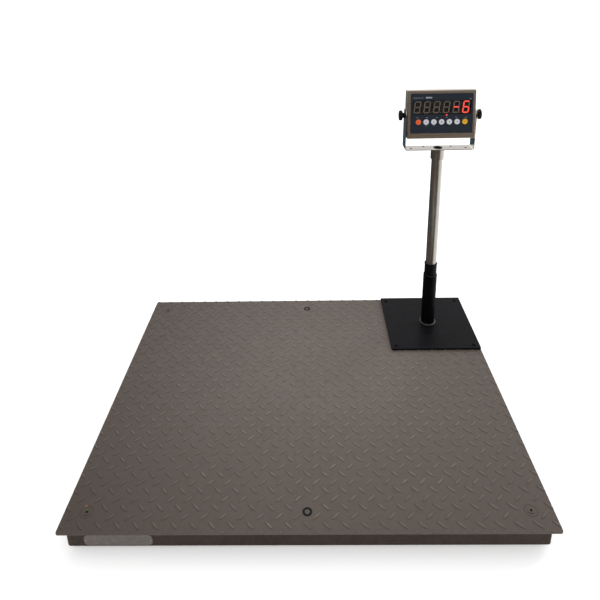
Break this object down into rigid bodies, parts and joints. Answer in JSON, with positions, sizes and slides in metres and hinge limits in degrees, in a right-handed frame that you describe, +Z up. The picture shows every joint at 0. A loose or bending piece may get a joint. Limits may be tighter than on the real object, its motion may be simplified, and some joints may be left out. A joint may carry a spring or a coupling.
{
  "type": "platform shipping scale",
  "caption": "Low tread-plate floor scale on load cells, with a corner post that carries a tilting stainless weight indicator.",
  "frame": {"origin": "on the floor under the middle of the deck", "axes": "+X to the right along the deck's long side, +Y to the rear where the stand is, +Z up; the indicator faces -Y"},
  "size_m": [1.5, 1.2, 1.1941],
  "materials": {
    "deck_paint": "satin taupe enamel on raised-lug tread plate",
    "frame_paint": "dull dark brown-grey enamel",
    "black_paint": "satin black powder coat",
    "stainless": "brushed stainless",
    "zinc_steel": "zinc-plated",
    "nickel_steel": "nickel-plated alloy steel",
    "black_rubber": "matt",
    "label_film": "blank satin film",
    "grey_plastic": "moulded",
    "black_plastic": "moulded",
    "circuit_board": "solder mask",
    "overlay_print": "printed polycarbonate film",
    "display_window": "dark smoked window",
    "display_segment": "unlit LED segment",
    "display_lit": "lit LED segment",
    "key_white": "embossed film",
    "key_orange": "embossed film",
    "key_yellow": "embossed film"
  },
  "bodies": {
    "platform": {"deck_plate": "deck_paint", "front_channel": "frame_paint", "rear_channel": "frame_paint", "left_channel": "frame_paint", "right_channel": "frame_paint", "left_rib": "frame_paint", "centre_rib": "frame_paint", "right_rib": "frame_paint", "cell_mount_fl": "zinc_steel", "cell_mount_fr": "zinc_steel", "cell_mount_rl": "zinc_steel", "cell_mount_rr": "zinc_steel", "load_cell_fl": "nickel_steel", "load_cell_fr": "nickel_steel", "load_cell_rl": "nickel_steel", "load_cell_rr": "nickel_steel", "cell_lead_fl": "black_rubber", "cell_lead_fr": "black_rubber", "cell_lead_rl": "black_rubber", "cell_lead_rr": "black_rubber", "access_screw_fl": "zinc_steel", "access_screw_fr": "zinc_steel", "access_screw_rl": "zinc_steel", "lifting_plug_front": "black_rubber", "lifting_plug_rear": "black_rubber", "data_plate": "label_film", "junction_box": "grey_plastic", "junction_box_lid": "grey_plastic", "summing_board": "circuit_board", "stand_base_plate": "black_paint", "base_screw_1": "black_paint", "base_screw_2": "black_paint", "base_screw_3": "black_paint", "base_screw_4": "black_paint", "column_socket": "black_paint", "column_bush": "black_paint"},
    "foot_fl": {"levelling_foot_fl": "zinc_steel"},
    "foot_fr": {"levelling_foot_fr": "zinc_steel"},
    "foot_rl": {"levelling_foot_rl": "zinc_steel"},
    "foot_rr": {"levelling_foot_rr": "zinc_steel"},
    "clamp_screw": {"column_clamp_screw": "zinc_steel"},
    "column": {"column_tube": "stainless", "head_sleeve": "stainless", "indicator_bracket": "stainless"},
    "indicator": {"front_case": "stainless", "rear_cover": "stainless", "case_gasket": "black_rubber", "overlay_panel": "overlay_print", "main_board": "circuit_board", "battery": "grey_plastic", "cable_gland": "black_plastic"},
    "knob_left": {"knob_left": "black_plastic"},
    "knob_right": {"knob_right": "black_plastic"},
    "key_1": {"key_1": "key_orange"},
    "key_2": {"key_2": "key_white"},
    "key_3": {"key_3": "key_white"},
    "key_4": {"key_4": "key_white"},
    "key_5": {"key_5": "key_white"},
    "key_6": {"key_6": "key_white"},
    "key_7": {"key_7": "key_yellow"}
  },
  "joints": [
    {"name": "foot_fl_adjust", "type": "slide", "parent": "platform", "child": "foot_fl", "axis": [0, 0, -1], "range_m": [0, 0.012]},
    {"name": "foot_fr_adjust", "type": "slide", "parent": "platform", "child": "foot_fr", "axis": [0, 0, -1], "range_m": [0, 0.012]},
    {"name": "foot_rl_adjust", "type": "slide", "parent": "platform", "child": "foot_rl", "axis": [0, 0, -1], "range_m": [0, 0.012]},
    {"name": "foot_rr_adjust", "type": "slide", "parent": "platform", "child": "foot_rr", "axis": [0, 0, -1], "range_m": [0, 0.012]},
    {"name": "column_swivel", "type": "hinge", "parent": "platform", "child": "column", "pos_m": [0.5575, 0.4075, 0.38], "axis": [0, 0, 1], "range_deg": [-90, 90]},
    {"name": "clamp_screw_turn", "type": "hinge", "parent": "platform", "child": "clamp_screw", "pos_m": [0.5575, 0.4425, 0.38], "axis": [0, 1, 0], "range_deg": [0, 360]},
    {"name": "indicator_tilt", "type": "hinge", "parent": "column", "child": "indicator", "pos_m": [0.5575, 0.4075, 1.088], "axis": [1, 0, 0], "range_deg": [-40, 30]},
    {"name": "knob_left_turn", "type": "hinge", "parent": "indicator", "child": "knob_left", "pos_m": [0.4075, 0.4075, 1.088], "axis": [-1, 0, 0], "range_deg": [0, 360]},
    {"name": "knob_right_turn", "type": "hinge", "parent": "indicator", "child": "knob_right", "pos_m": [0.7075, 0.4075, 1.088], "axis": [1, 0, 0], "range_deg": [0, 360]},
    {"name": "key_1_press", "type": "slide", "parent": "indicator", "child": "key_1", "axis": [0, 0.9903, -0.1392], "range_m": [0, 0.0006], "stiffness_N_per_m": 2500},
    {"name": "key_2_press", "type": "slide", "parent": "indicator", "child": "key_2", "axis": [0, 0.9903, -0.1392], "range_m": [0, 0.0006], "stiffness_N_per_m": 2500},
    {"name": "key_3_press", "type": "slide", "parent": "indicator", "child": "key_3", "axis": [0, 0.9903, -0.1392], "range_m": [0, 0.0006], "stiffness_N_per_m": 2500},
    {"name": "key_4_press", "type": "slide", "parent": "indicator", "child": "key_4", "axis": [0, 0.9903, -0.1392], "range_m": [0, 0.0006], "stiffness_N_per_m": 2500},
    {"name": "key_5_press", "type": "slide", "parent": "indicator", "child": "key_5", "axis": [0, 0.9903, -0.1392], "range_m": [0, 0.0006], "stiffness_N_per_m": 2500},
    {"name": "key_6_press", "type": "slide", "parent": "indicator", "child": "key_6", "axis": [0, 0.9903, -0.1392], "range_m": [0, 0.0006], "stiffness_N_per_m": 2500},
    {"name": "key_7_press", "type": "slide", "parent": "indicator", "child": "key_7", "axis": [0, 0.9903, -0.1392], "range_m": [0, 0.0006], "stiffness_N_per_m": 2500}
  ]
}
